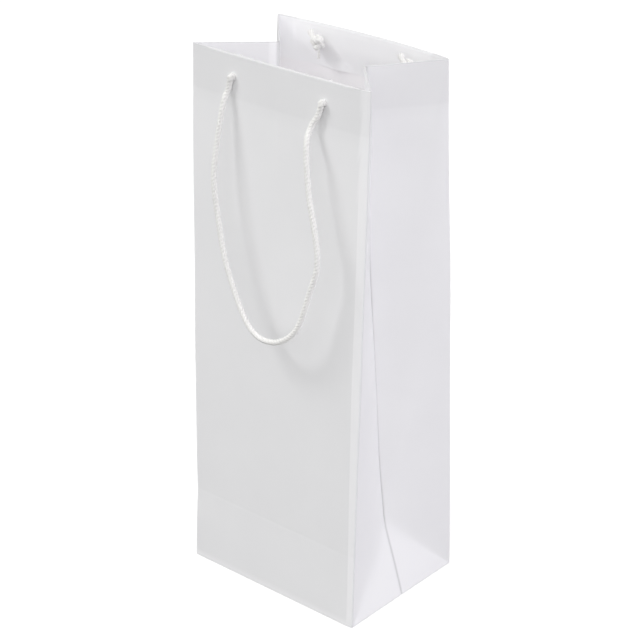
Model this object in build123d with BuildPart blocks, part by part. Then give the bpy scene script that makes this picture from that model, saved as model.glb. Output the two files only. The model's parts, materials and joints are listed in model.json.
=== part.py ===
from build123d import *
import math
import os

# Wine gift bag of laminated paper with two cord handles.
# Units are millimetres. +Z is up, the front face looks along -Y, and the
# origin is the centre of the base on the surface that the bag stands on.

# ---- bag body, as folded from its sheet ----
WIDTH = 127.0            # base width along X
DEPTH = 95.0             # base depth along Y, also the paper width of a gusset
HEIGHT = 330.0           # length of a panel from base crease to top edge
REST_LEAN = 2.1          # degrees that the front and back panels lean in at rest
PAPER = 0.4              # laminated paper, inner lining included

# ---- top edge ----
BOARD = 1.0              # stiffener board inside the turned-in hem
HEM_HEIGHT = 26.0        # depth of the turned-in hem below the top edge
HEM_SETBACK = 10.0       # hem and board stop this far from the vertical creases
BOARD_GAP = 0.1          # free space round the board inside its pocket
GUSSET_HEM_SETBACK = 4.0 # gusset hem stops this far from its own creases

# ---- clearances left at the creases, where one rigid facet turns on the next ----
CORNER_GAP = 0.8         # panel to gusset, along the vertical crease
DIAGONAL_GAP = 0.4       # lower gusset facet to upper gusset facet
CENTRE_GAP = 1.1         # front half to rear half of a gusset, and round the base triangle
TOP_CORNER_CUT = 3.2     # the upper facet stops this far from the top corner
LOWER_TIP = 16.0         # the lower facet's tip stops this far below the top corner

# ---- base ----
OUTER_FLAP = 85.0        # depth of the outermost base flap
INNER_FLAP = 58.0        # depth of the second base flap
TUCK = 36.0              # reach of each side tuck
TUCK_SETBACK = 1.8       # tuck edge to the side crease, under the leaning base triangle
TUCK_SPLAY = 12.0        # how much a tuck narrows on each side towards its free edge
FLAP_GAP = 0.05          # glue line between stacked layers
BASE_BOARD = 1.2         # base card
BASE_BOARD_GAP = 3.0     # card edge to the base creases
SEAM_FLAP = 16.0         # width of the glued seam flap inside the back panel
SEAM_FLAP_GAP = 3.0      # seam flap to the vertical crease
SEAM_FLAP_TOP = 12.0     # top end of the seam flap below the hem
SEAM_FLAP_FOOT = 12.0    # bottom end of the seam flap above the base crease

# ---- cord handles ----
CORD_R = 1.7             # twisted cord radius
HOLE_R = 2.1             # punched hole radius
HOLE_X = 33.0            # holes are this far each side of the centre
HOLE_DROP = 13.5         # holes are this far below the top edge
HANG_TILT = 6.0          # degrees that a hanging loop stands off the panel
CORD_STANDOFF = 0.3      # cord end to the panel face
LOOP_SHAPE = (           # a stiff cord's relaxed curve: across the bag, and down from the holes
    (-33.0, 0.0), (-38.0, 12.0), (-40.5, 56.0), (-34.5, 82.5), (-25.0, 108.5),
    (-6.0, 137.0), (12.0, 142.0), (28.5, 131.0), (36.0, 107.5), (39.5, 85.5),
    (29.0, 51.0), (24.5, 26.5), (26.5, 9.5), (33.0, 0.0),
)
KNOT_R = 5.2             # overhand knot, taken as a ball
TAIL_R = 1.6             # free end above a knot
TAIL_RISE = 8.5          # how far the tail stands up above the knot's centre
TAIL_SIDE = 3.5          # how far it leans sideways
STUB_CLEAR = 0.15        # stub end inside the panel face

HALF_W = WIDTH / 2
HALF_D = DEPTH / 2
LEAN = math.radians(REST_LEAN)


def circle_crossing(centre_a, radius_a, centre_b, radius_b):
    """Crossing of two circles in the (inset, z) plane, on the side with more inset."""
    run = centre_b[0] - centre_a[0]
    rise = centre_b[1] - centre_a[1]
    span = math.hypot(run, rise)
    along = (radius_a**2 - radius_b**2 + span**2) / (2 * span)
    off = math.sqrt(radius_a**2 - along**2)
    foot = (centre_a[0] + along * run / span, centre_a[1] + along * rise / span)
    crossings = [(foot[0] + s * off * rise / span, foot[1] - s * off * run / span) for s in (1, -1)]
    return max(crossings)


# Where the creases of a tucked gusset meet, with every facet at its paper length.
TOP_Y = HALF_D - HEIGHT * math.sin(LEAN)
TOP_Z = HEIGHT * math.cos(LEAN)
APEX_Z = HALF_D * math.tan(math.pi / 4 - LEAN / 2)
APEX_INSET = math.sqrt(HALF_D**2 - APEX_Z**2)
CREST_INSET, CREST_Z = circle_crossing(
    (0, TOP_Z), math.sqrt(HALF_D**2 - TOP_Y**2), (APEX_INSET, APEX_Z), HEIGHT - HALF_D
)


def base_corner(side, face):
    return Vector(side * HALF_W, face * HALF_D, 0)


def top_corner(side, face):
    return Vector(side * HALF_W, face * TOP_Y, TOP_Z)


def apex(side):
    """Top of the base triangle, on the gusset's centre crease."""
    return Vector(side * (HALF_W - APEX_INSET), 0, APEX_Z)


def crest(side):
    """Top end of the gusset's centre crease."""
    return Vector(side * (HALF_W - CREST_INSET), 0, CREST_Z)


def panel_plane(face):
    """Outer face of a leaning panel: local X along the width, local Y up the panel."""
    up = Vector(0, -face * math.sin(LEAN), math.cos(LEAN))
    x_dir = Vector(-face, 0, 0)
    return Plane(origin=(0, face * HALF_D, 0), x_dir=x_dir, z_dir=x_dir.cross(up))


def inset_outline(points, insets):
    """Move each edge of a convex outline inwards by its own inset."""
    area = sum(p.X * q.Y - q.X * p.Y for p, q in zip(points, points[1:] + points[:1]))
    turn = math.copysign(1, area)
    edges = []
    for start, end, inset in zip(points, points[1:] + points[:1], insets):
        along = (end - start).normalized()
        inward = Vector(-along.Y, along.X) * turn
        edges.append((start + inward * inset, along))
    moved = []
    for (p, u), (q, v) in zip(edges[-1:] + edges[:-1], edges):
        step = ((q - p).X * v.Y - (q - p).Y * v.X) / (u.X * v.Y - u.Y * v.X)
        moved.append(p + u * step)
    return moved


def facet_plane(corners):
    """Plane of a facet, with its normal pointing away from the bag's centre line."""
    along = corners[1] - corners[0]
    normal = along.cross(corners[2] - corners[0]).normalized()
    middle = sum(corners, Vector()) / len(corners)
    if normal.dot(Vector(middle.X, middle.Y, 0)) < 0:
        normal = -normal
    return Plane(origin=corners[0], x_dir=along, z_dir=normal)


def save(piece, label):
    piece.part.label = label
    export_step(piece.part, "parts/" + label + ".step")


def make_facet(name, layers):
    """Flat facet of paper, each layer drawn on its outer face and thickened towards the inside."""
    with BuildPart() as facet:
        for corners, insets, thickness in layers:
            plane = facet_plane(corners)
            flat = [plane.to_local_coords(corner) for corner in corners]
            with BuildSketch(plane):
                with BuildLine():
                    Polyline(*inset_outline(flat, insets), close=True)
                make_face()
            extrude(amount=-thickness)
    save(facet, name)


# ---- panels, with their turned-in hems ----

def make_panel(name, face):
    plane = panel_plane(face)
    pocket = BOARD + 2 * BOARD_GAP
    hem_width = WIDTH - 2 * HEM_SETBACK
    with BuildPart() as panel:
        with BuildSketch(plane):
            with Locations((0, (HEIGHT + CORNER_GAP) / 2)):
                Rectangle(WIDTH - 2 * CORNER_GAP, HEIGHT - CORNER_GAP)
        extrude(amount=-PAPER)
        with BuildSketch(plane.offset(-PAPER)):
            with Locations((0, HEIGHT - PAPER / 2)):
                Rectangle(hem_width, PAPER)
        extrude(amount=-pocket)
        with BuildSketch(plane.offset(-PAPER - pocket)):
            with Locations((0, HEIGHT - HEM_HEIGHT / 2)):
                Rectangle(hem_width, HEM_HEIGHT)
        extrude(amount=-PAPER)
        with BuildSketch(plane):
            with Locations((-HOLE_X, HEIGHT - HOLE_DROP), (HOLE_X, HEIGHT - HOLE_DROP)):
                Circle(HOLE_R)
        extrude(amount=-2 * PAPER - pocket, mode=Mode.SUBTRACT)
    save(panel, name)


def make_top_board(name, face):
    plane = panel_plane(face).offset(-PAPER - BOARD_GAP)
    height = HEM_HEIGHT - PAPER - 2 * BOARD_GAP
    with BuildPart() as board:
        with BuildSketch(plane):
            with Locations((0, HEIGHT - HEM_HEIGHT + height / 2)):
                Rectangle(WIDTH - 2 * HEM_SETBACK, height)
            with Locations((-HOLE_X, HEIGHT - HOLE_DROP), (HOLE_X, HEIGHT - HOLE_DROP)):
                Circle(HOLE_R, mode=Mode.SUBTRACT)
        extrude(amount=-BOARD)
    save(board, name)


def make_seam_flap():
    """The sheet's last edge, folded in behind the left rear crease and glued to the back panel."""
    plane = panel_plane(1).offset(-PAPER - FLAP_GAP)
    top = HEIGHT - HEM_HEIGHT - SEAM_FLAP_TOP
    with BuildPart() as flap:
        with BuildSketch(plane):
            with Locations((HALF_W - SEAM_FLAP_GAP - SEAM_FLAP / 2, (SEAM_FLAP_FOOT + top) / 2)):
                Rectangle(SEAM_FLAP, top - SEAM_FLAP_FOOT)
        extrude(amount=-PAPER)
    save(flap, "seam_glue_flap")


# ---- gussets: each half folds on its corner crease and on one diagonal ----

def make_lower_gusset(name, side, face):
    """Long triangle between the vertical crease, the base diagonal and the long diagonal."""
    foot, top, point = base_corner(side, face), top_corner(side, face), apex(side)
    tip_on_diagonal = top + (point - top).normalized() * LOWER_TIP
    tip_on_corner = top + (foot - top).normalized() * LOWER_TIP
    corners = [foot, point, tip_on_diagonal, tip_on_corner]
    make_facet(name, [(corners, [CENTRE_GAP, DIAGONAL_GAP, 0, CORNER_GAP], PAPER)])


def make_upper_gusset(name, side, face):
    """Long triangle between the long diagonal, the centre crease and the mouth, with its hem."""
    top, point, mouth = top_corner(side, face), apex(side), crest(side)
    cut_on_mouth = top + (mouth - top).normalized() * TOP_CORNER_CUT
    cut_on_diagonal = top + (point - top).normalized() * TOP_CORNER_CUT
    corners = [point, mouth, cut_on_mouth, cut_on_diagonal]
    hem_foot = mouth + (point - mouth).normalized() * HEM_HEIGHT
    down_diagonal = (point - cut_on_diagonal) * (HEM_HEIGHT / (point - mouth).length)
    hem = [hem_foot, mouth, cut_on_mouth, cut_on_diagonal + down_diagonal]
    sheet = (corners, [CENTRE_GAP, 0, 0, DIAGONAL_GAP], PAPER)
    turned_in = (hem, [CENTRE_GAP, 0, GUSSET_HEM_SETBACK, 0], 2 * PAPER)
    make_facet(name, [sheet, turned_in])


def make_base_triangle(name, side):
    """The gusset's foot, leaning in from the base side crease."""
    corners = [base_corner(side, -1), base_corner(side, 1), apex(side)]
    make_facet(name, [(corners, [CORNER_GAP, CENTRE_GAP, CENTRE_GAP], PAPER)])


# ---- base: two long flaps over two side tucks, with a card laid inside ----

def make_flap(name, face, reach, level):
    edge = HALF_D - CORNER_GAP
    with BuildPart() as flap:
        with BuildSketch(Plane.XY.offset(level)):
            with Locations((0, face * (edge - reach / 2))):
                Rectangle(WIDTH - 2 * CORNER_GAP, reach)
        extrude(amount=PAPER)
    save(flap, name)


def make_tuck(name, side, level):
    edge = side * (HALF_W - TUCK_SETBACK)
    free = edge - side * TUCK
    wide = HALF_D - CORNER_GAP
    narrow = wide - TUCK_SPLAY
    with BuildPart() as tuck:
        with BuildSketch(Plane.XY.offset(level)):
            with BuildLine():
                Polyline((edge, -wide), (edge, wide), (free, narrow), (free, -narrow), close=True)
            make_face()
        extrude(amount=PAPER)
    save(tuck, name)


def make_base_board(level):
    with BuildPart() as board:
        with BuildSketch(Plane.XY.offset(level)):
            Rectangle(WIDTH - 2 * BASE_BOARD_GAP, DEPTH - 2 * BASE_BOARD_GAP)
        extrude(amount=BASE_BOARD)
    save(board, "base_board")


# ---- cords ----

def hole_plane(face, side):
    """Plane on a panel's outer face, centred on a hole, with local X towards +X."""
    up = Vector(0, -face * math.sin(LEAN), math.cos(LEAN))
    outward = Vector(0, face * math.cos(LEAN), math.sin(LEAN))
    centre = Vector(side * HOLE_X, face * HALF_D, 0) + up * (HEIGHT - HOLE_DROP)
    return Plane(origin=centre, x_dir=(1, 0, 0), z_dir=outward)


def make_knot(name, face, side):
    """Cord through the hole, its knot against the inside of the hem, and the free end."""
    plane = hole_plane(face, side)
    wall = 2 * PAPER + BOARD + 2 * BOARD_GAP
    reach = wall + KNOT_R
    knot_centre = plane.origin - plane.z_dir * reach
    tail = Vector(-TAIL_SIDE, 0, TAIL_RISE)
    with BuildPart() as knot:
        with BuildSketch(plane.offset(-STUB_CLEAR)):
            Circle(CORD_R)
        extrude(amount=-reach)
        with Locations(knot_centre):
            Sphere(KNOT_R)
        with BuildSketch(Plane(origin=knot_centre, z_dir=tail)):
            Circle(TAIL_R)
        extrude(amount=tail.length)
    save(knot, name)


def make_handle(name, face):
    """Hanging cord loop, in a plane through both holes that stands off the panel."""
    hole = hole_plane(face, 1)
    pivot = hole.origin + hole.z_dir * (CORD_R + CORD_STANDOFF)
    pivot.X = 0
    hang = LEAN + math.radians(HANG_TILT)
    down = Vector(0, face * math.sin(hang), -math.cos(hang))
    plane = Plane(origin=pivot, x_dir=(1, 0, 0), z_dir=Vector(1, 0, 0).cross(-down))
    with BuildPart() as handle:
        with BuildLine(plane) as path:
            Spline(*[(across, -down_by) for across, down_by in LOOP_SHAPE])
        with BuildSketch(Plane(origin=path.line @ 0, z_dir=path.line % 0)):
            Circle(CORD_R)
        sweep(path=path.line)
        with Locations(path.line @ 0, path.line @ 1):
            Sphere(CORD_R)
    save(handle, name)


def main():
    os.makedirs("parts", exist_ok=True)

    for name, face in (("front", -1), ("back", 1)):
        make_panel(name + "_panel", face)
        make_top_board(name + "_top_board", face)
        make_handle(name + "_handle_cord", face)
        for side_name, side in (("left", -1), ("right", 1)):
            make_knot(name + "_" + side_name + "_knot", face, side)
    make_seam_flap()

    for side_name, side in (("left", -1), ("right", 1)):
        make_base_triangle(side_name + "_base_triangle", side)
        for face_name, face in (("front", -1), ("rear", 1)):
            make_lower_gusset(side_name + "_gusset_" + face_name + "_lower", side, face)
            make_upper_gusset(side_name + "_gusset_" + face_name + "_upper", side, face)

    layer = PAPER + FLAP_GAP
    make_flap("base_front_flap", -1, OUTER_FLAP, 0)
    make_flap("base_back_flap", 1, INNER_FLAP, layer)
    make_tuck("base_left_tuck", -1, 2 * layer)
    make_tuck("base_right_tuck", 1, 2 * layer)
    make_base_board(3 * layer)


main()
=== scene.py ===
"""Looks of the wine gift bag: folded laminated paper, card base and twisted cord handles.

Lengths are in metres. A corner of the bag is (side, face): side is -1 on the left and 1 on the right,
face is -1 at the front and 1 at the back.
"""

import json
import math

import bmesh
import bpy
import numpy as np
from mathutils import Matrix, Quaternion, Vector


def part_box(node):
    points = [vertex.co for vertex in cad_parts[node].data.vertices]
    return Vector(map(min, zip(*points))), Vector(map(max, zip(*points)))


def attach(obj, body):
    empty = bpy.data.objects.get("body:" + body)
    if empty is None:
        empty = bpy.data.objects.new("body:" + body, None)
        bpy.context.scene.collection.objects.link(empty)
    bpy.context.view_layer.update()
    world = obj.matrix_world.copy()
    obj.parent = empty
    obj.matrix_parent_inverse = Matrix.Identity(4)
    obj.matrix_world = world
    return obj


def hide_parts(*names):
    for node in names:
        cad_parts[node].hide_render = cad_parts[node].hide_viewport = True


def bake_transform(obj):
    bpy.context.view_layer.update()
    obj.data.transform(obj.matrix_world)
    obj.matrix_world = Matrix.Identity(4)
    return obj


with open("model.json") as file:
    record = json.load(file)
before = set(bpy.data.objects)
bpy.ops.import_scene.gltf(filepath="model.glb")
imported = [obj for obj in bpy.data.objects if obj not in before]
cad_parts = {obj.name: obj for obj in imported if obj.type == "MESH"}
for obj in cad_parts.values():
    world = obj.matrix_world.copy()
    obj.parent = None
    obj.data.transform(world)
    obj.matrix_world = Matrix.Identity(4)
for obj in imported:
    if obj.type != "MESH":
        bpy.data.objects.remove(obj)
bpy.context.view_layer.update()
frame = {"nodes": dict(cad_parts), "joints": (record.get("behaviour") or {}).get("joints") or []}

MM = 0.001
JOINTS = {joint["name"]: joint for joint in frame["joints"]}

# Sheet and hem, as the CAD model has them.
PAPER = 0.4 * MM             # laminated paper
HEM = 26 * MM                # turned-in hem below the mouth
HEM_WALL = 2.0 * MM          # paper, board and hem together
HEM_END = 10 * MM            # the board stops this far from a vertical crease
HEM_EASE = 4 * MM            # the wall eases over this length at the board's ends
HEM_SLOPE = 15 * MM          # and over this height above the hem's lower edge
HEM_STEP = 0.06 * MM         # half height of the step at the hem's lower edge
GUSSET_HEM_WALL = 0.8 * MM   # two layers of paper
RIM_WALL = 1.7 * MM          # thickness of a panel's top edge, where the board ends
RIM_HEIGHT = 5 * MM
LIFT = 1.1 * MM              # the back hem has come unstuck a little at one place
LIFT_PLACE, LIFT_REACH, LIFT_HEIGHT = -19 * MM, 7 * MM, 7 * MM

# Creases. A bend is half the length of paper that turns, measured along the sheet. Where three values
# are given, it grows with the distance from the crease's end, from a least value to a largest one.
CORNER_STRIP = 6 * MM        # half width of the piece that carries a vertical fold
CORNER_STRIP_TOP = 2.2 * MM  # and its half width at the mouth
CORNER_BENDS = {(-1, -1): 1.4 * MM, (1, -1): 1.5 * MM, (-1, 1): 1.6 * MM, (1, 1): 1.4 * MM}
CORNER_BEND_TOP, CORNER_BEND_FOOT = 1.2 * MM, 1.0 * MM
TOP_EASE, FOOT_EASE = 70 * MM, 40 * MM   # a vertical fold changes over these heights at its ends
FOLD_BLEND = 3 * MM          # the sheet is worked out this far each side of a vertical fold, at mid height
DIAGONAL_BEND = 0.12, 0.6 * MM, 14 * MM
DIAGONAL_BLEND = 8 * MM      # diagonal_ends finds points this far each side of a gusset's diagonal
BASE_BEND = 0.1, 0.2 * MM, 5.0 * MM
FRONT_BASE_BEND = 0.3, 0.2 * MM, 9.0 * MM
FRONT_BASE_SOFT = 0.5        # share of the front base crease that has the softer bend
CENTRE_BEND = 0.5 * MM
CENTRE_EASE = 20 * MM        # it is fully eased from this height above the base triangle
PRESS_DEPTH = 0.15 * MM      # line pressed into the paper along a gusset's centre crease
PRESS_WIDTH = 0.8 * MM
FOOT = 0.8 * MM              # height of the bend into the base
FLAP_EDGE = 0.8 * MM         # base flaps stop this far from the base creases

# A panel's edge turns in a little, over a narrow shoulder beside its vertical fold.
SHOULDERS = {(-1, -1): 2.5 * MM, (1, -1): 5.8 * MM, (-1, 1): 3.0 * MM, (1, 1): 4.0 * MM}
SHOULDER_FOOT = 0.75         # a shoulder narrows to this share of its width at the foot
SHOULDER_FULL = 0.5          # and has its full width above this share of the bag's height
SHOULDER_BEND = 0.8 * MM
SHOULDER_SLOPE = 0.16

# How handling has moved the folds. A spread moves a vertical fold sideways, away from the middle.
TOP_SPREAD = {(-1, -1): 1.6 * MM, (1, -1): 0.8 * MM, (1, 1): -1.3 * MM}
TOP_SPREAD_RISE = 0.2, 0.9   # it grows between these shares of the height
SIDE_SPREAD = {(1, 1): 1.5 * MM}
SIDE_SPREAD_PLACE, SIDE_SPREAD_REACH = 190 * MM, 100 * MM
FOOT_SPREAD = {(-1, -1): -0.6 * MM, (1, 1): 0.8 * MM}
FOOT_SPREAD_PLACE, FOOT_SPREAD_REACH = 42 * MM, 40 * MM
TUCK_IN = 4.3 * MM           # a gusset's centre crease bows in this far
TUCK_EASE = 100 * MM         # and reaches that at this height
MOUTH_EASE = 60 * MM         # a gusset returns to its ideal place over this height below the mouth
HOLLOW = {(1, -1): 2.4 * MM}   # half a gusset sinks in this far, midway between its creases
HOLLOW_RISE = 110 * MM, 215 * MM
CREST_RISE = {-1: 0.7 * MM, 1: 0.0}   # a side's centre crease stands this much proud at the mouth
CREST_RISE_FROM = 0.6        # from this share of the height

# Relief of handled paper.
BOWS = {-1: 0.5 * MM, 1: 3.6 * MM}    # a face's top edge bows out
BOW_FROM = 0.2               # from this share of the height
SCORE_DEPTH = 0.05 * MM      # flat-folding score across a panel
SCORE_WIDTH = 0.8 * MM
SCORE_KINK = 0.35 * MM       # the panel's valley along that score
SCORE_REACH = 30 * MM
SCORE_END = 2 * MM           # both end over this much paper at a vertical fold
DENTS = {-1: 0.5 * MM, 1: 0.1 * MM}   # dent of a side's vertical folds where the score meets them
DENT_REACH, DENT_HEIGHT = 9 * MM, 14 * MM
HEM_PROUD = 0.12 * MM        # the board presses the panel's paper out this far
HEM_PROUD_EASE = 1.5 * MM
WAVE = 0.22 * MM             # slight waves all over, as a product of two sine waves
WAVE_TURNS = (47, 23, 2), (-19, 31, 1)   # radians per metre across and up, and the start angle
WAVE_RISE = 5 * MM, 60 * MM
WAVE_END = 12 * MM           # they end over this much paper at the centre crease

# Marks on the paper. Each has a tone, as a share of plain paper's: painted shade along a gusset's centre
# crease, a darker band where the hem doubles the wall, painted shade along the top edge, painted light on
# a few strips, and painted shade on the line round a vertical fold.
MARKS = {"pressed_and_shaded": 0.74, "backed": 0.945, "edge_shade": 0.85, "painted_light": 1.09, "folded": 0.92}
BACKED_FADE = 1 * MM
EDGE_SHADE_REACH = 0.8 * MM, 0.3 * MM   # distances below the mouth where the top edge's painted shade starts and where it is full
PAINTED_SHOULDER_OVER = 5 * MM         # a shoulder wider than this gets painted light, with a line of painted shade just round its fold
PAINTED_LIGHT_START = 0.3 * MM, 0.9 * MM   # it starts over these distances from the fold
PAINTED_LIGHT_FADE = 0.4 * MM       # and fades at the shoulder's inner edge
FOOT_LIGHT_HEIGHT, FOOT_LIGHT_FADE = 2.6 * MM, 0.5 * MM   # height of the painted light along the front's foot
FOOT_LIGHT_END = 1 * MM        # it ends over this much paper at a vertical fold
CREASE_LIGHT = 6 * MM, 4 * MM  # painted light inside the left centre crease, fading over these distances
# place and width of the painted shade line just round such a fold
FOLD_SHADE_PLACE, FOLD_SHADE_WIDTH = 0.4 * MM, 0.7 * MM

# Mesh density: points along each stretch of paper, and how strongly they crowd towards a crease.
PANEL_COLUMNS, FOLD_COLUMNS = 73, 41
GUSSET_COLUMNS, GUSSET_CROWD = 56, 1.6
TRIANGLE_COLUMNS, TRIANGLE_CROWD, TRIANGLE_ROWS = 48, 1.7, 24
TRIANGLE_START = 1.02        # first column of a base triangle, as a share of the foot's height
LOW_ROWS, SCORE_ROWS, BODY_ROWS = 12, 9, 34   # below, at and above a panel's score
SCORE_SPAN = 2 * MM
GUSSET_ROWS, GUSSET_ROW_CROWD = 60, 1.3
HEM_LOW_ROWS, HEM_ROWS = 10, 14
RIM_ROWS = 7                 # over the rolled top edge
PANEL_FOOT_COLUMNS, GUSSET_FOOT_COLUMNS, FOOT_ROWS = 40, 36, 9
SHARP_ANGLE = math.radians(32)   # edges that turn more than this are shaded sharp
WELD, DEGENERATE = 0.002 * MM, 0.001 * MM
BACK_PAPER = 0.5             # the back's paper lies this far across from the front's, each side of 0

# Cord.
CORD_R = 1.7 * MM
STRANDS = 3
STRAND_R, STRAND_OFFSET = 0.67 * CORD_R, 0.33 * CORD_R   # a strand, and its middle from the cord's
LAY = 6.6 * MM               # length of one full twist
RING = 24                    # points round the cord
CORD_STEP = 0.45 * MM        # length of cord between rings
SWELL_REACH = 2.2 * MM
END_SHADE_FULL = 0.6              # a cord's painted shade is full over this share of its shaded length at each end
CURVE_POINTS = 40            # points between two given points of a cord's curve
OBLIQUE = 0.3, 0.9, 0.2      # a direction that no cord starts in
HOLE_R = 1.75 * MM           # paper round a hole closes in on the cord
PUNCH_DEPTH, PUNCH_POINTS = 8 * MM, 40
PIVOT_STANDOFF = 2.0 * MM    # handle pivot line to the panel's outer face
HANG_TILT = 6.0              # degrees that a hanging loop stands off the panel
LOOP_SHAPE = (               # relaxed curve of a stiff cord, in mm across and down from the holes
    (-34.8, 7.5), (-37.6, 17.0), (-40.5, 56.0), (-34.5, 82.5), (-25.0, 108.5),
    (-6.0, 137.0), (12.0, 142.0), (28.5, 131.0), (36.0, 107.5), (39.5, 85.5),
    (29.0, 51.0), (24.5, 26.5), (26.8, 14.0), (31.0, 6.5),
)
CORD_BOW = 7.6 * MM          # the loop's legs bow out of its plane this far, and lean over with it
CORD_BOW_RISE = 8, 32        # mm below the holes; nearer, the raised cord has to clear the panel
CORD_BOW_ACROSS, CORD_BOW_UP = 0.87, 0.64
# Points of the loop's ends, and two more (CORD_BLEND) that are found but not used, out from the panel and
# up.
CORD_INSIDE = -HEM_WALL - 0.8 * MM, 0.0
CORD_MOUTH = 0.6 * MM, 0.3 * MM
CORD_KNEE = 2.3 * MM, 0.4 * MM
CORD_BLEND = (0.5 * MM, 1.0 * MM), (4.0 * MM, -8.0 * MM)
KNOT_SIZE = 1.15 * MM
KNOT_ACROSS, KNOT_UP = 3.8 * MM, 4.4 * MM   # a knot rolls up over its hole
KNOT_WIDE, KNOT_TALL = 1.15, 0.85
KNOT_OPENING, KNOT_POINTS = 0.42, 26   # angle left open for the two ends, and points round the knot
ENTRY = ((0.0, 0.0, -0.6), (0.8, 0.6, 1.0))   # mm across, up and in from the hole
TAIL = ((0.4, 1.6, 4.8), (-2.6, 3.4, 4.2), (-5.4, 6.2, 3.2))   # the same, from the knot

# Materials.
CLOUDS, DIMPLES, FIBRES = (22, 4), (260, 2), (1400, 3)   # scale and detail of the paper's noises
FUZZ = 2600, 3               # and of the cord's
ROUGH_LESS, ROUGH_MORE = 0.06, 0.08   # how far a paper's roughness varies
# tone of the painted shade over a cord's ends, near the holes and over the knots
END_SHADE_TONE = 0.82
GLOW = 0.84                  # share of a lamp's light that passes through each face of the paper

# Camera, in degrees, metres and millimetres of lens, and light.
CAMERA_AZIMUTH, CAMERA_PITCH, CAMERA_ROLL = 40.73, 25.95, -0.11
CAMERA_DISTANCE = 1.2097
CAMERA_SHIFT = 0.0001
CAMERA_AIM = 0.4945          # height that the camera looks at, as a share of the panel
CAMERA_LENS, CAMERA_SENSOR = 115.17, 36
WHITE, COOL = (1.0, 1.0, 1.0), (0.95, 0.925, 1.0)
LAMP_AIM = (0, 0, 0.17)
LAMPS = {                    # place, size, power and colour
    "key": ((-2.3, -2.3, 3.93), 1.6, 101.0, WHITE),
    "fill": ((3.93, 0.34, 1.61), 2.0, 61.0, COOL),
    "rear": ((2.54, 3.02, 1.61), 2.0, 30.0, COOL),
    "front": ((1.0, -3.5, 2.9), 5.0, 58.0, WHITE),
}
SKY_TOP, SKY_HORIZON = 0.51, 0.55
FLOOR_REACH, FLOOR_DROP = 30, 0.05 * MM
FLOOR_SEEN, FLOOR_BOUNCE = 0.45, 0.3   # the floor's tone to the camera, and to the light
FLOOR_GLOW = 0.62            # an even white the floor adds to the camera, like a lit sweep


def mix(a, b, t):
    return a + (b - a) * t


def smooth(x, low, high):
    """Eases from 0 at low to 1 at high."""
    t = np.clip((x - low) / (high - low), 0, 1)
    return t * t * (3 - 2 * t)


def hump(x, middle, reach):
    """1 at the middle, falling to 0 on both sides."""
    return np.exp(-(((x - middle) / reach) ** 2))


def bent(distance, bend):
    """Distance past a crease, rounded off over bend on each side of it."""
    near = np.clip(distance + bend, 0, None) ** 2 / (4 * bend)
    return np.where(distance > bend, distance, np.where(distance < -bend, 0, near))


def growing_bend(distance, growth, least, most):
    """Bend that widens with the distance, from a least value to a largest one."""
    return np.clip(growth * distance + least, least, most)


def crowded(count, power):
    """Shares from 0 to 1 that lie closer together near 1."""
    return 1 - (1 - np.linspace(0, 1, count)) ** power


def circle_crossing(centre_a, radius_a, centre_b, radius_b):
    """Crossing of two circles in the (inset, z) plane, on the side with more inset."""
    step = np.subtract(centre_b, centre_a)
    span = np.linalg.norm(step)
    along = (radius_a**2 - radius_b**2 + span**2) / (2 * span)
    off = math.sqrt(radius_a**2 - along**2)
    foot = np.asarray(centre_a) + step * along / span
    side = np.array([step[1], -step[0]]) * off / span
    return max(tuple(foot + side), tuple(foot - side))


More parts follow.
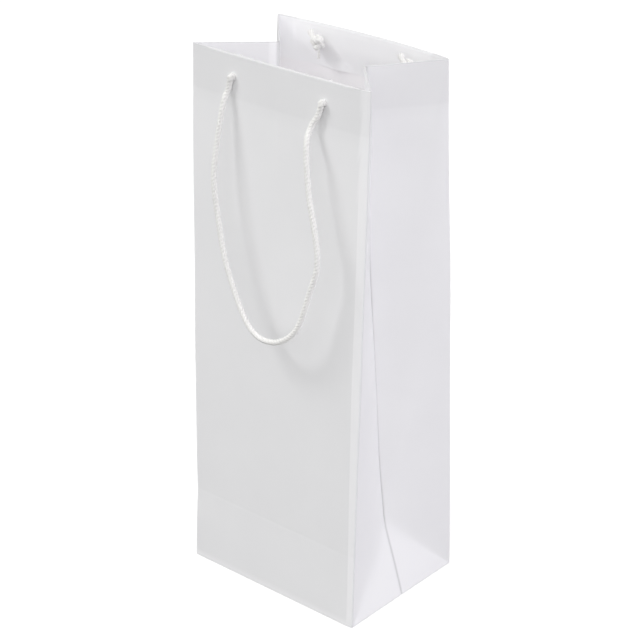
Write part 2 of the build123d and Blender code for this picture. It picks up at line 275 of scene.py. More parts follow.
class Corner:
    """A quarter of the bag's wall round one vertical crease, as a map from paper to space.

    On the paper, u runs across from the vertical crease (negative on the panel, positive on the
    gusset, half_depth at the gusset's centre crease) and v runs up from the base crease.
    """

    def __init__(self, side, face):
        self.side, self.face = side, face
        self.side_name = "right" if side > 0 else "left"
        self.panel = "front" if face < 0 else "back"
        self.gusset = self.side_name + "_gusset_" + ("front" if face < 0 else "rear")
        corner_fold = JOINTS[self.gusset + "_corner_fold"]
        self.foot = np.array(corner_fold["pos_m"])
        self.apex = np.array(JOINTS[self.gusset + "_diagonal_fold"]["pos_m"])
        self.up = np.array(corner_fold["axis"])
        self.half_width, self.half_depth = abs(self.foot[0]), abs(self.foot[1])
        self.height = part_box(self.panel + "_panel")[1].z / self.up[2]
        self.top = self.foot + self.up * self.height
        self.painted_shoulder = SHOULDERS[side, face] > PAINTED_SHOULDER_OVER
        self.crest = self.find_crest()
        self.find_folds()

    def find_crest(self):
        """Top of the centre crease, a half gusset's width from the top corner."""
        inset, z = circle_crossing(
            (0, self.top[2]), math.sqrt(self.half_depth**2 - self.top[1] ** 2),
            (self.half_width - abs(self.apex[0]), self.apex[2]), self.height - self.half_depth,
        )
        return np.array([self.side * (self.half_width - inset), 0, z])

    def find_folds(self):
        """Direction in which each facet leaves the one before it."""
        across = (self.apex - self.foot) / self.half_depth - self.up
        self.fold_corner = across - [self.side, 0, 0]
        flat_base = self.foot + across * self.half_depth
        flat_crest = flat_base + self.up * self.height
        self.fold_diagonal = (self.crest - flat_crest) / self.past_diagonal(self.half_depth, self.height)
        base_middle = np.array([self.foot[0], 0, 0])
        self.fold_base = (base_middle - flat_base) / self.past_base(self.half_depth, 0)

    def past_diagonal(self, u, v):
        rise = self.height - self.half_depth
        return (u * rise - (self.height - v) * self.half_depth) / math.hypot(rise, self.half_depth)

    def past_base(self, u, v):
        return (u - v) / math.sqrt(2)

    def corner_bend(self, v):
        """Half length of the bend, which is tighter at the foot and at the mouth."""
        bend = CORNER_BENDS[self.side, self.face]
        above_foot = mix(CORNER_BEND_FOOT, bend, smooth(v, 0, FOOT_EASE))
        return mix(CORNER_BEND_TOP, above_foot, smooth(self.height - v, 0, TOP_EASE))

    def strip(self, v):
        """Half width of the vertical fold's own piece."""
        return mix(CORNER_STRIP_TOP, CORNER_STRIP, smooth(self.height - v, 0, TOP_EASE))

    def shoulder(self, v):
        """Width of the shoulder beside a vertical fold."""
        share = mix(SHOULDER_FOOT, 1, smooth(v, 0, SHOULDER_FULL * self.height))
        return SHOULDERS[self.side, self.face] * share

    def sheet(self, u, v):
        """Outer face of the folded paper, without relief."""
        u, v = np.broadcast_arrays(np.asarray(u, float), np.asarray(v, float))
        from_end = np.minimum(v - self.half_depth, self.height - v)
        base_bend = growing_bend(u, *BASE_BEND)
        if self.face < 0:
            firm = smooth(u, FRONT_BASE_SOFT * self.half_depth, self.half_depth)
            base_bend = mix(growing_bend(u, *FRONT_BASE_BEND), base_bend, firm)
        turns = (
            (self.fold_corner, bent(u, self.corner_bend(v))),
            (self.fold_diagonal, bent(self.past_diagonal(u, v), growing_bend(from_end, *DIAGONAL_BEND))),
            (self.fold_base, bent(self.past_base(u, v), base_bend)),
        )
        point = self.foot + u[..., None] * [self.side, 0, 0] + v[..., None] * self.up
        for direction, distance in turns:
            point = point + distance[..., None] * direction
        return point + self.handled(u, v)

    def handled(self, u, v):
        """How handling has moved the folds off their ideal lines."""
        corner = self.side, self.face
        to_middle = 1 + np.minimum(u, 0) / self.half_width
        to_crease = 1 - np.maximum(u, 0) / self.half_depth
        below_mouth = smooth(self.height - v, 0, MOUTH_EASE)
        top_low, top_high = (share * self.height for share in TOP_SPREAD_RISE)
        spread = (
            TOP_SPREAD.get(corner, 0) * smooth(v, top_low, top_high)
            + SIDE_SPREAD.get(corner, 0) * hump(v, SIDE_SPREAD_PLACE, SIDE_SPREAD_REACH)
            + FOOT_SPREAD.get(corner, 0) * hump(v, FOOT_SPREAD_PLACE, FOOT_SPREAD_REACH)
        )
        spread = spread * to_middle * to_crease
        tucked = TUCK_IN * smooth(v, 0, TUCK_EASE) * below_mouth * (1 - to_crease)
        hollow = 4 * HOLLOW.get(corner, 0) * to_crease * (1 - to_crease)
        hollow = hollow * smooth(v, *HOLLOW_RISE) * below_mouth
        sideways = self.side * (spread - tucked - hollow)
        shoulder = SHOULDER_SLOPE * bent(np.minimum(u, 0) + self.shoulder(v), SHOULDER_BEND)
        inwards = -self.face * shoulder * to_crease
        rise = CREST_RISE[self.side] * (1 - to_crease)
        rise = rise * smooth(v, CREST_RISE_FROM * self.height, self.height)
        return np.stack([sideways, inwards, rise], -1)

    def creased(self, u, v):
        """The folded paper with its centre crease eased where it meets its mirror image."""
        before = self.half_depth - np.asarray(u, float)
        eased = np.where(before < CENTRE_BEND, (before**2 / CENTRE_BEND + CENTRE_BEND) / 2 - before, 0)
        upper = smooth(np.asarray(v, float), self.half_depth, self.half_depth + CENTRE_EASE)
        slope = (self.crest - self.top) / self.half_depth * [1, 0, 1]
        return self.sheet(u, v) - (eased * upper)[..., None] * slope

    def outward(self, u, v):
        """Direction out of the bag, square to the paper."""
        step = 0.05 * MM
        across = self.creased(u + step, v) - self.creased(u - step, v)
        rise = self.creased(u, v + step) - self.creased(u, v - step)
        normal = np.cross(across, rise) * (-self.side * self.face)
        return normal / np.linalg.norm(normal, axis=-1, keepdims=True)

    def relief(self, u, v):
        """How far handled paper stands off the ideal fold, outwards."""
        x = self.side * (self.half_width + np.minimum(u, 0))
        on_panel = 1 - np.clip(np.abs(x) / self.half_width, 0, 1) ** 2
        out = BOWS[self.face] * on_panel * smooth(v, BOW_FROM * self.height, self.height)
        score = v - self.half_depth
        valley = SCORE_KINK * np.exp(-np.sqrt(score**2 + SCORE_WIDTH**2) / SCORE_REACH)
        valley = valley + SCORE_DEPTH * hump(score, 0, SCORE_WIDTH)
        out = out - valley * smooth(-u, 0, SCORE_END)
        out = out - PRESS_DEPTH * self.pressed_and_shaded(u)
        out = out - DENTS[self.side] * hump(u, 0, DENT_REACH) * hump(score, 0, DENT_HEIGHT)
        board = smooth(-u, HEM_END - HEM_EASE, HEM_END + HEM_EASE)
        hem = self.height - HEM
        out = out + HEM_PROUD * board * smooth(v, hem - HEM_PROUD_EASE, hem)
        (across_a, up_a, start_a), (across_b, up_b, start_b) = WAVE_TURNS
        wave = np.sin(across_a * x + up_a * v + start_a * self.face)
        wave = wave * np.sin(up_b * v + across_b * x + start_b * self.side)
        return out + WAVE * wave * smooth(v, *WAVE_RISE) * smooth(self.half_depth - u, 0, WAVE_END)

    def pressed_and_shaded(self, u):
        """1 along the centre crease, falling to 0 beside it: the line pushed into the paper, and the
        painted shade along it.
        """
        return hump(u, self.half_depth, PRESS_WIDTH)

    def backed(self, v):
        """1 where the wall is doubled by the hem, and 0 elsewhere."""
        hem = self.height - HEM
        return smooth(v, hem - BACKED_FADE, hem + BACKED_FADE)

    def edge_shade(self, v):
        """1 along the top edge, darkened there as painted shade to tone down the light that the rolled
        edge catches as it faces up.
        """
        start, full = (self.height - below for below in EDGE_SHADE_REACH)
        return smooth(v, start, full)

    def painted_light(self, u, v, depth):
        """1 where the paper is painted lighter: painted light on a wide shoulder, which turns towards the
        lamps, along the front's foot, where the bend would catch the floor's light, and inside the left
        centre crease.
        """
        strip = np.zeros(np.shape(v))
        if self.painted_shoulder:
            reach = self.shoulder(v)
            strip = 1 - smooth(-u, reach - PAINTED_LIGHT_FADE, reach + PAINTED_LIGHT_FADE)
            strip = strip * smooth(-u, *PAINTED_LIGHT_START)
        if self.face < 0:
            foot = (1 - smooth(v, FOOT_LIGHT_HEIGHT, FOOT_LIGHT_HEIGHT + FOOT_LIGHT_FADE)) * smooth(-u, 0, FOOT_LIGHT_END)
            strip = np.maximum(strip, foot)
        if self.side < 0:
            start, full = (self.half_depth - before for before in CREASE_LIGHT)
            strip = np.maximum(strip, smooth(u, start, full) * (depth > PAPER))
        return strip

    def folded(self, u):
        """1 along the line just round a vertical fold with a painted-light shoulder, where painted shade
        darkens the fold.
        """
        return self.painted_shoulder * hump(u, FOLD_SHADE_PLACE, FOLD_SHADE_WIDTH)

    def marks(self, u, v, depth):
        """How strongly each point carries each of the MARKS, most of which are painted shade or painted
        light. The hem's doubling shows only outside.
        """
        return np.stack([
            self.pressed_and_shaded(u), self.backed(v) * (depth < PAPER), self.edge_shade(v), self.painted_light(u, v, depth),
            self.folded(u),
        ], -1)

    def wall(self, u, v):
        """Thickness of the wall: one sheet, two in the gusset's hem, and board in a panel's."""
        above = v - (self.height - HEM)
        board = smooth(-u, HEM_END, HEM_END + HEM_EASE) * smooth(above, 0, HEM_SLOPE)
        rim = mix(RIM_WALL, HEM_WALL, smooth(self.height - v, 0, RIM_HEIGHT))
        hem = mix(GUSSET_HEM_WALL, rim, board)
        if self.face > 0:
            x = self.side * (self.half_width + u)
            hem = hem + LIFT * hump(x, LIFT_PLACE, LIFT_REACH) * (1 - smooth(above, 0, LIFT_HEIGHT))
        return np.where(above > 0, hem, PAPER)

    def point(self, u, v, depth):
        """A point depth inside the outer face."""
        u, v = np.broadcast_arrays(np.asarray(u, float), np.asarray(v, float))
        offset = self.relief(u, v) - depth
        return self.creased(u, v) + self.outward(u, v) * offset[..., None]


# ---------------------------------------------------------------- mesh helpers

def new_object(name, vertices, faces, materials, indices, uv):
    """A smooth-shaded mesh object. uv gives paper coordinates per vertex, in metres."""
    mesh = bpy.data.meshes.new(name)
    mesh.from_pydata([tuple(v) for v in vertices], [], faces)
    for material in materials:
        mesh.materials.append(material)
    mesh.polygons.foreach_set("material_index", indices)
    mesh.polygons.foreach_set("use_smooth", [True] * len(mesh.polygons))
    layer = mesh.uv_layers.new(name="paper")
    corners = np.zeros(len(mesh.loops), int)
    mesh.loops.foreach_get("vertex_index", corners)
    layer.data.foreach_set("uv", np.asarray(uv, np.float32)[corners].ravel())
    mesh.validate()
    mesh.update()
    piece = bpy.data.objects.new(name, mesh)
    bpy.context.scene.collection.objects.link(piece)
    return piece


def add_mark(piece, mark, values):
    """Stores how strongly each vertex carries a mark."""
    layer = piece.data.attributes.new(mark, "FLOAT", "POINT")
    layer.data.foreach_set("value", values.astype(np.float32))


def tidy_normals(piece):
    """Welds doubled points, turns every face outwards and marks the sharp edges."""
    work = bmesh.new()
    work.from_mesh(piece.data)
    bmesh.ops.remove_doubles(work, verts=work.verts, dist=WELD)
    bmesh.ops.dissolve_degenerate(work, edges=work.edges, dist=DEGENERATE)
    bmesh.ops.recalc_face_normals(work, faces=work.faces)
    work.to_mesh(piece.data)
    work.free()
    piece.data.set_sharp_from_angle(angle=SHARP_ANGLE)


def rolled_profile(corner, u, v):
    """Closed profile of one column: up the outer face, over the rolled top edge and down the inner."""
    wall = corner.wall(u, v)
    roll = wall[-1] / 2
    turn = np.linspace(0, math.pi, RIM_ROWS + 2)[1:-1]
    outer = v.copy()
    outer[-1] -= roll
    return (
        np.concatenate([u, np.full_like(turn, u[-1]), u[::-1]]),
        np.concatenate([outer, outer[-1] + roll * np.sin(turn), outer[::-1]]),
        np.concatenate([np.zeros_like(v), roll * (1 - np.cos(turn)), wall[::-1]]),
    )


def plain_profile(corner, u, v):
    """Closed profile of one column with a cut upper edge."""
    depth = np.concatenate([np.zeros_like(v), corner.wall(u, v)[::-1]])
    return np.concatenate([u, u[::-1]]), np.concatenate([v, v[::-1]]), depth


def closed_wall(name, columns, profile):
    """Closed sheet over columns of (corner, u, v), where u and v hold one value per row."""
    rings, paper, inner, marks = [], [], [], []
    for corner, column_u, column_v in columns:
        u, v, depth = profile(corner, column_u, column_v)
        rings.append(corner.point(u, v, depth))
        across = corner.side * (corner.half_width + u) + BACK_PAPER * corner.face
        paper.append(np.stack([across, v], -1))
        inner.append((depth > 0.9 * PAPER) & (v < corner.height - HEM))
        marks.append(corner.marks(u, v, depth))
    piece = stitch(name, rings, paper, inner)
    for mark, values in zip(MARKS, np.concatenate(marks).T):
        add_mark(piece, mark, values)
    tidy_normals(piece)
    return piece


def stitch(name, rings, paper, inner):
    """Joins closed rings side by side and closes both ends, which pair the ring's two halves."""
    size = len(rings[0])
    faces, indices = [], []
    for i in range(len(rings) - 1):
        for j in range(size):
            k = (j + 1) % size
            faces.append((i * size + j, (i + 1) * size + j, (i + 1) * size + k, i * size + k))
            indices.append(int(inner[i][j] and inner[i][k]))
    for i in (0, len(rings) - 1):
        for j in range(size // 2 - 1):
            low, high = i * size + j, i * size + size - 1 - j
            faces.append((low, low + 1, high - 1, high))
            indices.append(1)
        if size % 2:
            middle = i * size + size // 2
            faces.append((middle - 1, middle, middle + 1))
            indices.append(1)
    materials = [LAMINATE, LINING]
    return new_object(name, np.concatenate(rings), faces, materials, indices, np.concatenate(paper))


# ---------------------------------------------------------------- materials

class Nodes:
    """Short way to build a material's node tree."""

    def __init__(self, name):
        self.material = bpy.data.materials.new(name)
        self.material.use_nodes = True
        self.tree = self.material.node_tree
        self.shader = self.tree.nodes["Principled BSDF"]

    def add(self, kind, **settings):
        node = self.tree.nodes.new(kind)
        for key, value in settings.items():
            setattr(node, key, value)
        return node

    def link(self, source, output, target, socket):
        self.tree.links.new(source.outputs[output], target.inputs[socket])

    def shade(self, values):
        """Sets the shader's own inputs."""
        for socket, value in values.items():
            self.shader.inputs[socket].default_value = value

    def noise(self, source, output, scale, detail):
        node = self.add("ShaderNodeTexNoise")
        node.inputs["Scale"].default_value = scale
        node.inputs["Detail"].default_value = detail
        self.link(source, output, node, "Vector")
        return node

    def ramp(self, source, output, low, high, span=(0.3, 0.7)):
        """Colour between low and high as the source goes over span."""
        node = self.add("ShaderNodeValToRGB")
        for stop, position, colour in zip(node.color_ramp.elements, span, (low, high)):
            stop.position = position
            stop.color = (*colour, 1)
        self.link(source, output, node, "Fac")
        return node

    def between(self, source, output, low, high):
        """Value between low and high as the source goes from 0 to 1."""
        node = self.add("ShaderNodeMapRange")
        node.inputs["To Min"].default_value = low
        node.inputs["To Max"].default_value = high
        self.link(source, output, node, "Value")
        return node

    def marked(self, source, mark, tone):
        """Multiplies a colour by tone where the piece carries a mark."""
        read = self.add("ShaderNodeAttribute", attribute_name=mark)
        amount = self.between(read, "Fac", 1.0, tone)
        node = self.add("ShaderNodeVectorMath", operation="SCALE")
        self.link(source, 0, node, "Vector")
        self.link(amount, "Result", node, "Scale")
        return node

    def bump(self, source, output, strength, distance, before=None):
        node = self.add("ShaderNodeBump")
        node.inputs["Strength"].default_value = strength
        node.inputs["Distance"].default_value = distance
        self.link(source, output, node, "Height")
        if before:
            self.link(before, "Normal", node, "Normal")
        return node

    def let_light_through(self, share):
        """Lets a share of the lamps' light through a face of the sheet, so white paper glows inside."""
        path = self.add("ShaderNodeLightPath")
        amount = self.between(path, "Is Shadow Ray", 0.0, share)
        clear = self.add("ShaderNodeBsdfTransparent")
        both = self.add("ShaderNodeMixShader")
        self.link(amount, "Result", both, "Fac")
        self.link(self.shader, 0, both, 1)
        self.link(clear, 0, both, 2)
        self.link(both, 0, self.tree.nodes["Material Output"], "Surface")


def paper_material(name, light, dark, rough, grain, coat):
    """Paper: cloudy tone, fine fibre grain and a roughness that varies with handling."""
    nodes = Nodes(name)
    place = nodes.add("ShaderNodeTexCoord")
    clouds = nodes.noise(place, "Object", *CLOUDS)
    fibres = nodes.noise(place, "Object", *FIBRES)
    dimples = nodes.noise(place, "Object", *DIMPLES)
    tone = nodes.ramp(clouds, "Fac", dark, light)
    # the marks paint shade and light into the paper's tone
    for mark, share in MARKS.items():
        tone = nodes.marked(tone, mark, share)
    nodes.link(tone, 0, nodes.shader, "Base Color")
    sheen = nodes.between(dimples, "Fac", rough - ROUGH_LESS, rough + ROUGH_MORE)
    nodes.link(sheen, "Result", nodes.shader, "Roughness")
    coarse = nodes.bump(dimples, "Fac", strength=0.12, distance=0.1 * MM)
    fine = nodes.bump(fibres, "Fac", strength=grain, distance=0.03 * MM, before=coarse)
    nodes.link(fine, "Normal", nodes.shader, "Normal")
    nodes.shade({"Coat Weight": coat, "Coat Roughness": 0.38, "Specular IOR Level": 0.35})
    nodes.let_light_through(GLOW)
    return nodes.material


def cord_material():
    """Twisted cotton-like cord: yarns run along each strand, with a soft fuzzy sheen."""
    nodes = Nodes("twisted_cord")
    place = nodes.add("ShaderNodeUVMap", uv_map="paper")
    yarn = nodes.add("ShaderNodeTexWave", wave_type="BANDS", bands_direction="DIAGONAL")
    yarn.inputs["Scale"].default_value = 620
    yarn.inputs["Distortion"].default_value = 1.5
    yarn.inputs["Detail"].default_value = 2
    nodes.link(place, "UV", yarn, "Vector")
    fuzz = nodes.noise(place, "UV", *FUZZ)
    tone = nodes.ramp(yarn, "Fac", low=(0.80, 0.795, 0.77), high=(0.91, 0.905, 0.885), span=(0.1, 0.8))
    # painted shade over the cord's ends
    tone = nodes.marked(tone, "shaded_end", END_SHADE_TONE)
    nodes.link(tone, 0, nodes.shader, "Base Color")
    twist = nodes.bump(yarn, "Fac", strength=0.35, distance=0.1 * MM)
    soft = nodes.bump(fuzz, "Fac", strength=0.2, distance=0.05 * MM, before=twist)
    nodes.link(soft, "Normal", nodes.shader, "Normal")
    nodes.shade({
        "Roughness": 0.8, "Specular IOR Level": 0.2, "Sheen Weight": 0.25, "Sheen Roughness": 0.5,
        "Subsurface Weight": 0.35, "Subsurface Scale": CORD_R, "Subsurface Radius": (1, 1, 1),
    })
    return nodes.material


# ---------------------------------------------------------------- paper pieces

def wall_rows(corner, low):
    """Heights of a column's rows, with close rows at the score and at the hem's edge."""
    below_hem = corner.height - HEM - HEM_STEP
    score = corner.half_depth + np.linspace(-SCORE_SPAN, SCORE_SPAN, SCORE_ROWS)
    return np.concatenate([
        np.linspace(low, score[0], LOW_ROWS)[:-1], score,
        np.linspace(score[-1], below_hem, BODY_ROWS)[1:], hem_rows(corner),
    ])


def gusset_rows(corner, low):
    """Heights of a gusset column's rows, closer together at the base triangle."""
    below_hem = corner.height - HEM - HEM_STEP
    shares = np.linspace(0, 1, GUSSET_ROWS) ** GUSSET_ROW_CROWD
    return np.concatenate([mix(low, below_hem, shares), hem_rows(corner)])


def hem_rows(corner):
    """Heights of the rows in the hem, closer where the board's lower edge is."""
    hem = corner.height - HEM
    return np.concatenate([
        np.linspace(hem + HEM_STEP, hem + HEM_SLOPE, HEM_LOW_ROWS),
        np.linspace(hem + HEM_SLOPE, corner.height, HEM_ROWS)[1:],
    ])


def panel_columns(face):
    """A whole panel between its two vertical folds."""
    columns = []
    for share in np.linspace(-1, 1, PANEL_COLUMNS):
        corner = CORNERS[(1 if share >= 0 else -1), face]
        v = wall_rows(corner, FOOT)
        u = abs(share) * (corner.half_width - corner.strip(v)) - corner.half_width
        columns.append((corner, u, v))
    return columns


def fold_columns(corner):
    """One vertical fold, from the panel to the gusset."""
    columns = []
    for share in np.linspace(-1, 1, FOLD_COLUMNS):
        v = wall_rows(corner, max(FOOT, share * CORNER_STRIP))
        columns.append((corner, share * corner.strip(v), v))
    return columns


def gusset_columns(corner):
    """Half a gusset, from its vertical fold to its centre crease, above the base triangle."""
    columns = []
    for share in crowded(GUSSET_COLUMNS, GUSSET_CROWD):
        v = gusset_rows(corner, mix(CORNER_STRIP, corner.half_depth, share))
        columns.append((corner, mix(corner.strip(v), corner.half_depth, share), v))
    return columns


def triangle_columns(side):
    """The base triangle, from the front corner over the centre crease's foot to the rear corner."""
    front, rear = CORNERS[side, -1], CORNERS[side, 1]
    places = mix(FOOT * TRIANGLE_START, front.half_depth, crowded(TRIANGLE_COLUMNS, TRIANGLE_CROWD))
    columns = []
    for corner, u in [(front, u) for u in places] + [(rear, u) for u in places[-2::-1]]:
        v = np.linspace(FOOT, u, TRIANGLE_ROWS)
        columns.append((corner, np.full_like(v, u), v))
    return columns


def foot_ring(corner, u):
    """Bend from the wall into the base, as a closed profile at one place along the base crease."""
    start = corner.point(u, FOOT, 0)
    edge = np.array([corner.half_width, corner.half_depth]) - FLAP_EDGE
    end = np.array([*np.clip(start[:2], -edge, edge), 0])
    across, height = (start - end)[:2], start[2]
    inner_across = across * (1 - PAPER / np.linalg.norm(across))
    turn = np.linspace(0, math.pi / 2, FOOT_ROWS)
    outer = [end + [*(across * math.cos(t)), height * (1 - math.sin(t))] for t in turn]
    inner = [
        end + [*(inner_across * math.cos(t)), height - (height - PAPER) * math.sin(t)]
        for t in turn[::-1]
    ]
    return np.array(outer + inner)


def make_foot(name, places):
    """The bend into the base, along (corner, u) places on the base crease."""
    rings = [foot_ring(corner, u) for corner, u in places]
    size = len(rings[0])
    paper = [np.stack([np.full(size, u), np.linspace(-FOOT, FOOT, size)], -1) for _, u in places]
    inner = [np.arange(size) >= size // 2 for _ in places]
    foot = stitch(name, rings, paper, inner)
    tidy_normals(foot)
    return foot


def punch(piece, panel):
    """Punches the two cord holes through a panel."""
    for hole in HOLES[panel]:
        bpy.ops.mesh.primitive_cylinder_add(
            radius=HOLE_R, depth=PUNCH_DEPTH, vertices=PUNCH_POINTS, location=hole.centre,
            rotation=Vector(hole.normal).to_track_quat("Z", "Y").to_euler(),
        )
        cutter = bpy.context.object
        cut = piece.modifiers.new("hole", "BOOLEAN")
        cut.object = cutter
        cut.operation = "DIFFERENCE"
        cut.solver = "EXACT"
        bpy.context.view_layer.objects.active = piece
        bpy.ops.object.modifier_apply(modifier=cut.name)
        bpy.data.objects.remove(cutter)
    piece.data.set_sharp_from_angle(angle=SHARP_ANGLE)


def make_panel(panel, face):
    """A panel with its hem and holes, and its bend into the base."""
    piece = closed_wall(panel + "_sheet", panel_columns(face), rolled_profile)
    punch(piece, panel)
    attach(piece, panel)
    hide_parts(panel + "_panel", panel + "_top_board")
    left, right = CORNERS[-1, face], CORNERS[1, face]
    ends = np.linspace(0, right.half_width, PANEL_FOOT_COLUMNS)
    places = [(left, -u) for u in ends] + [(right, u - right.half_width) for u in ends[1:]]
    foot = make_foot(panel + "_base_fold", places)
    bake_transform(foot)


def make_half_gusset(corner):
    """A vertical fold and the half gusset beside it."""
    name = corner.gusset.replace("gusset", "vertical_fold")
    fold = closed_wall(name, fold_columns(corner), rolled_profile)
    middle = corner.height / 2
    corner.sheet(-FOLD_BLEND, middle)
    corner.sheet(FOLD_BLEND, middle)
    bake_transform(fold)
    sheet = closed_wall(corner.gusset + "_sheet", gusset_columns(corner), rolled_profile)
    start, end = diagonal_ends(corner)
    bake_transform(sheet)
    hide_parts(corner.gusset + "_lower", corner.gusset + "_upper")


def diagonal_ends(corner):
    """Points below and above the long diagonal, square to it, DIAGONAL_BLEND from its middle."""
    along = corner.top - corner.apex
    along /= np.linalg.norm(along)
    middle = (corner.top + corner.apex) / 2
    ends = []
    for facet in (corner.foot, corner.crest):
        away = facet - middle
        away -= along * away.dot(along)
        ends.append(middle + DIAGONAL_BLEND * away / np.linalg.norm(away))
    return ends


def make_base_triangle(name, side):
    """A gusset's base triangle and its bend into the base."""
    piece = closed_wall(name + "_base_gusset", triangle_columns(side), plain_profile)
    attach(piece, name + "_base_triangle")
    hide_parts(name + "_base_triangle")
    front, rear = CORNERS[side, -1], CORNERS[side, 1]
    ends = np.linspace(0, rear.half_depth, GUSSET_FOOT_COLUMNS)
    places = [(front, u) for u in ends] + [(rear, u) for u in ends[-2::-1]]
    foot = make_foot(name + "_base_fold", places)
    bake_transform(foot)


# ---------------------------------------------------------------- cords

class Hole:
    """A punched hole: its centre on the panel's outer face, and directions there."""

    def __init__(self, panel, corner):
        joint = JOINTS[panel + "_handle_swing"]
        self.side_name = corner.side_name
        self.up = corner.up
        self.normal = np.cross([1, 0, 0], self.up) * -corner.face
        low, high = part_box(panel + "_" + corner.side_name + "_knot")
        self.pivot = np.array([(low.x + high.x) / 2, joint["pos_m"][1], joint["pos_m"][2]])
        self.centre = self.pivot - self.normal * PIVOT_STANDOFF

    def at(self, out, up):
        """A point out from the panel and up from the hole."""
        return self.centre + self.normal * out + self.up * up

    def behind(self, across, up, depth):
        """A point inside the bag, in from the hem's inner face."""
        return self.centre - self.normal * (HEM_WALL + depth) + [across, 0, 0] + self.up * up


def curve_through(points, step):
    """Even points along a Catmull-Rom curve through the given points, and their distances along it."""
    points = np.asarray(points, float)
    ends = np.concatenate([[2 * points[0] - points[1]], points, [2 * points[-1] - points[-2]]])
    t = np.linspace(0, 1, CURVE_POINTS, endpoint=False)[:, None]
    dense = [
        0.5 * (2 * p1 + (p2 - p0) * t + (2 * p0 - 5 * p1 + 4 * p2 - p3) * t**2
               + (3 * p1 - p0 - 3 * p2 + p3) * t**3)
        for p0, p1, p2, p3 in zip(ends, ends[1:], ends[2:], ends[3:])
    ]
    dense = np.concatenate(dense + [points[-1:]])
    length = np.concatenate([[0], np.cumsum(np.linalg.norm(np.diff(dense, axis=0), axis=1))])
    even = np.linspace(0, length[-1], int(length[-1] / step))
    return np.stack([np.interp(even, length, dense[:, axis]) for axis in range(3)], -1), even


def rope(name, points, swell, place, shaded_end, shade_share):
    """Three strands laid round each other along a curve, as one lobed tube with closed ends.

    The cord is a share, swell, thicker at the given distance from each end, and darkened by painted shade,
    of the given share, over the given length at each end.
    """
    path, length = curve_through(points, CORD_STEP)
    from_end = np.minimum(length, length[-1] - length)
    thickness = 1 + swell * hump(from_end, place, SWELL_REACH)
    tangent = np.gradient(path, axis=0)
    tangent /= np.linalg.norm(tangent, axis=1, keepdims=True)
    across = np.cross(tangent[0], OBLIQUE)
    around = np.linspace(0, 2 * math.pi, RING, endpoint=False)
    rings, yarns = [], []
    for point, along, reached, thick in zip(path, tangent, length, thickness):
        across = across - along * across.dot(along)
        across /= np.linalg.norm(across)
        other = np.cross(along, across)
        turned = (around - 2 * math.pi * reached / LAY) * STRANDS / (2 * math.pi)
        lobe = ((turned + 0.5) % 1 - 0.5) * 2 * math.pi / STRANDS
        chord = np.sqrt(STRAND_R**2 - (STRAND_OFFSET * np.sin(lobe)) ** 2)
        radius = (STRAND_OFFSET * np.cos(lobe) + chord) * thick
        spoke = np.cos(around)[:, None] * across + np.sin(around)[:, None] * other
        rings.append(point + radius[:, None] * spoke)
        yarns.append(np.stack([lobe * CORD_R, np.full_like(around, reached)], -1))
    faces = [
        (i * RING + j, i * RING + k, (i + 1) * RING + k, (i + 1) * RING + j)
        for i in range(len(rings) - 1) for j, k in zip(range(RING), [*range(1, RING), 0])
    ]
    last = (len(rings) - 1) * RING
    faces += [tuple(range(RING))[::-1], tuple(range(last, last + RING))]
    indices = [0] * len(faces)
    piece = new_object(name, np.concatenate(rings), faces, [CORD], indices, np.concatenate(yarns))
    # painted shade over the given length at each end
    end_shading = shade_share * smooth(-from_end, -shaded_end, -END_SHADE_FULL * shaded_end)
    add_mark(piece, "shaded_end", np.repeat(end_shading, RING))
    tidy_normals(piece)
    return piece


def make_handle(panel, face):
    """Hanging cord loop, out of one hole, down in a loose curve and back into the other."""
    left, right = HOLES[panel]
    hang = math.radians(HANG_TILT)
    down = -left.up * math.cos(hang) + left.normal * math.sin(hang)
    off = np.cross([1, 0, 0], down) * face
    middle = (left.pivot + right.pivot) / 2
    length = max(s for _, s in LOOP_SHAPE)
    loop = []
    for x, s in LOOP_SHAPE:
        bow = CORD_BOW * smooth(s, *CORD_BOW_RISE) * (1 - s / length)
        sideways = [x * MM + CORD_BOW_ACROSS * bow, 0, 0]
        loop.append(middle + sideways + down * (s * MM - CORD_BOW_UP * bow) + off * bow)
    start = [left.at(*place) for place in (CORD_INSIDE, CORD_MOUTH, CORD_KNEE)]
    end = [right.at(*place) for place in (CORD_KNEE, CORD_MOUTH, CORD_INSIDE)]
    piece = rope(
        panel + "_cord_loop", start + loop + end, swell=0.32, place=4.6 * MM, shaded_end=11 * MM, shade_share=0.3,
    )
    blend_start, blend_end = (left.at(*place) for place in CORD_BLEND)
    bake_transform(piece)
    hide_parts(panel + "_handle_cord")


def make_knot(panel, hole):
    """Overhand knot, a trefoil drawn tight against the hem, with a short free end standing up."""
    turns = np.linspace(KNOT_OPENING, 2 * math.pi - KNOT_OPENING, KNOT_POINTS)
    lobe = KNOT_SIZE * (2 + np.cos(3 * turns))
    across = KNOT_ACROSS + KNOT_WIDE * lobe * np.cos(2 * turns)
    up = KNOT_UP + KNOT_TALL * lobe * np.sin(2 * turns)
    depth = CORD_R + KNOT_SIZE * (1 + np.sin(3 * turns))
    entry = [hole.behind(*(part * MM for part in place)) for place in ENTRY]
    coil = [hole.behind(*place) for place in zip(across, up, depth)]
    tail = [hole.behind(KNOT_ACROSS + x * MM, KNOT_UP + z * MM, y * MM) for x, z, y in TAIL]
    name = panel + "_" + hole.side_name
    piece = rope(
        name + "_cord_knot", entry + coil + tail, swell=0.25, place=0, shaded_end=100 * MM, shade_share=0.25,
    )
    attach(piece, panel)
    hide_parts(name + "_knot")


# ---------------------------------------------------------------- CAD pieces that stay

def dress_base():
    """The flaps, tucks, board and seam flap are flat sheets already and keep their CAD shape."""
    special = {"base_board": CARD, "seam_glue_flap": LINING}
    for name, node in frame["nodes"].items():
        if not node.hide_render:
            node.data.materials.clear()
            node.data.materials.append(special.get(name, LAMINATE))


# ---------------------------------------------------------------- stage, light and camera

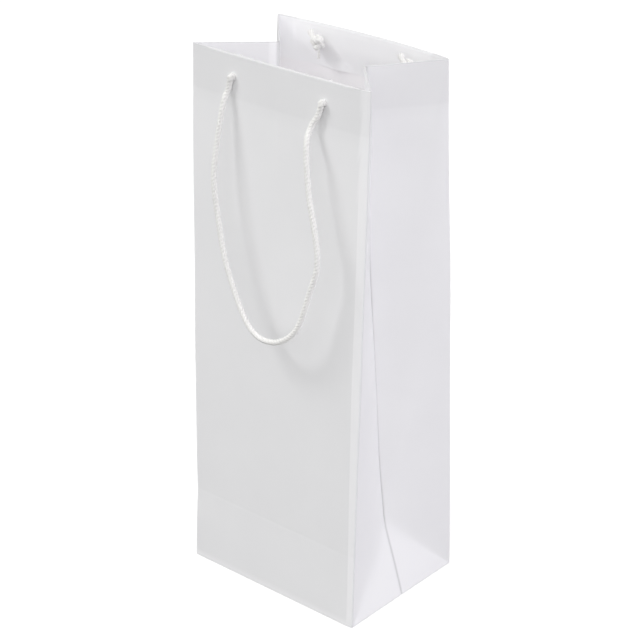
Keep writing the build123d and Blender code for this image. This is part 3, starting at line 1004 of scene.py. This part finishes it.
def make_floor():
    """Pale floor, which looks whiter to the camera than it is to the light."""
    corners = [(x * FLOOR_REACH, y * FLOOR_REACH, 0) for x, y in ((-1, -1), (1, -1), (1, 1), (-1, 1))]
    mesh = bpy.data.meshes.new("floor")
    mesh.from_pydata(corners, [], [(0, 1, 2, 3)])
    nodes = Nodes("floor")
    path = nodes.add("ShaderNodeLightPath")
    tone = nodes.between(path, "Is Camera Ray", FLOOR_BOUNCE, FLOOR_SEEN)
    nodes.link(tone, "Result", nodes.shader, "Base Color")
    glow = nodes.between(path, "Is Camera Ray", 0.0, FLOOR_GLOW)
    nodes.link(glow, "Result", nodes.shader, "Emission Strength")
    nodes.shade({"Emission Color": (1, 1, 1, 1), "Roughness": 0.9})
    mesh.materials.append(nodes.material)
    floor = bpy.data.objects.new("floor", mesh)
    floor.location.z = -FLOOR_DROP
    bpy.context.scene.collection.objects.link(floor)


def make_world():
    """Soft white studio light, whose strength changes from the horizon to overhead."""
    world = bpy.data.worlds.new("studio")
    bpy.context.scene.world = world
    world.use_nodes = True
    tree = world.node_tree
    background = tree.nodes["Background"]
    place = tree.nodes.new("ShaderNodeTexCoord")
    split = tree.nodes.new("ShaderNodeSeparateXYZ")
    strength = tree.nodes.new("ShaderNodeMapRange")
    strength.inputs["To Min"].default_value = SKY_HORIZON
    strength.inputs["To Max"].default_value = SKY_TOP
    tree.links.new(place.outputs["Generated"], split.inputs["Vector"])
    tree.links.new(split.outputs["Z"], strength.inputs["Value"])
    tree.links.new(strength.outputs["Result"], background.inputs["Strength"])
    background.inputs["Color"].default_value = (*WHITE, 1)


def make_lamp(name, place, size, power, colour):
    light = bpy.data.lights.new(name, "AREA")
    light.size = size
    light.energy = power
    light.color = colour
    lamp = bpy.data.objects.new(name, light)
    lamp.location = place
    lamp.rotation_euler = (Vector(LAMP_AIM) - Vector(place)).to_track_quat("-Z", "Y").to_euler()
    bpy.context.scene.collection.objects.link(lamp)


def make_camera():
    camera = bpy.data.objects.new("camera", bpy.data.cameras.new("camera"))
    azimuth, pitch, roll = (math.radians(a) for a in (CAMERA_AZIMUTH, CAMERA_PITCH, CAMERA_ROLL))
    level = Vector((math.sin(azimuth), -math.cos(azimuth), 0))
    back = level * math.cos(pitch) + Vector((0, 0, math.sin(pitch)))
    right = Vector((math.cos(azimuth), math.sin(azimuth), 0))
    middle = Vector((0, 0, CORNERS[1, 1].height * CAMERA_AIM))
    camera.location = middle + right * CAMERA_SHIFT + back * CAMERA_DISTANCE
    camera.rotation_mode = "QUATERNION"
    camera.rotation_quaternion = Quaternion(back, roll) @ back.to_track_quat("Z", "Y")
    camera.data.lens = CAMERA_LENS
    camera.data.sensor_width = CAMERA_SENSOR
    bpy.context.scene.collection.objects.link(camera)
    bpy.context.scene.camera = camera


# ---------------------------------------------------------------- the bag

PANELS = {"front": -1, "back": 1}
SIDES = {"left": -1, "right": 1}
CORNERS = {(side, face): Corner(side, face) for side in SIDES.values() for face in PANELS.values()}
HOLES = {
    panel: [Hole(panel, CORNERS[side, face]) for side in SIDES.values()] for panel, face in PANELS.items()
}
LAMINATE = paper_material(
    "satin_laminate", light=(0.905, 0.905, 0.91), dark=(0.885, 0.885, 0.892), rough=0.46, grain=0.10,
    coat=0.08,
)
LINING = paper_material(
    "uncoated_lining", light=(0.91, 0.90, 0.905), dark=(0.89, 0.88, 0.885), rough=0.8, grain=0.35,
    coat=0.0,
)
CARD = paper_material(
    "base_card", light=(0.83, 0.82, 0.79), dark=(0.76, 0.75, 0.72), rough=0.85, grain=0.5, coat=0.0,
)
CORD = cord_material()

for panel, face in PANELS.items():
    make_panel(panel, face)
for corner in CORNERS.values():
    make_half_gusset(corner)
for name, side in SIDES.items():
    make_base_triangle(name, side)
for panel, face in PANELS.items():
    make_handle(panel, face)
    for hole in HOLES[panel]:
        make_knot(panel, hole)
dress_base()

make_floor()
make_world()
for name, settings in LAMPS.items():
    make_lamp(name, *settings)
make_camera()
bpy.context.scene.view_settings.view_transform = "Standard"
